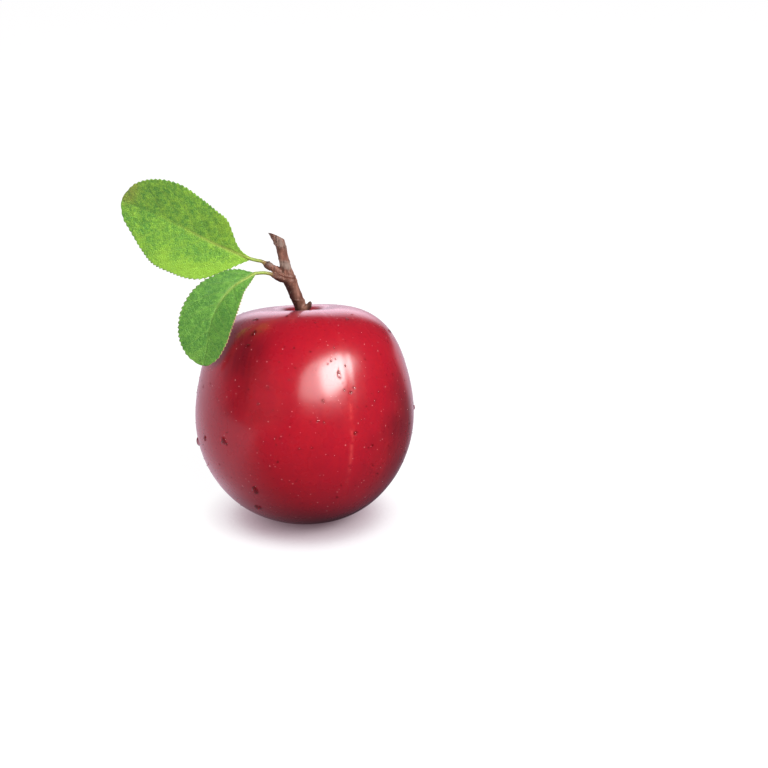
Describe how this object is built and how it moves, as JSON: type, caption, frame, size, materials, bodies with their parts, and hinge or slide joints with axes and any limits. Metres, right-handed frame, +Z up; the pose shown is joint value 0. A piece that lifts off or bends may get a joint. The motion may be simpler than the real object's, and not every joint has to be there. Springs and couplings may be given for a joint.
{
  "type": "plum",
  "caption": "Whole ripe red plum with a stem cavity and a shallow suture, on a cut piece of woody twig that carries serrated green leaves; it rests on a small flat spot.",
  "frame": {"origin": "centre of the flat spot under the fruit, on the ground it rests on", "axes": "+Z up from the flat spot, +X to the right as seen from the front, +Y to the back; the front is the side with the suture, the leaves point towards -X, and the stem axis leans back from +Z by about 14 degrees"},
  "size_m": [0.0707, 0.0537, 0.0846],
  "materials": {
    "plum_skin": "glossy deep crimson fruit skin",
    "bark": "rough red-brown bark",
    "leaf_green": "satin green leaf"
  },
  "bodies": {
    "root": {"fruit": "plum_skin", "twig": "bark", "upper_leaf": "leaf_green", "lower_leaf": "leaf_green"}
  },
  "joints": []
}
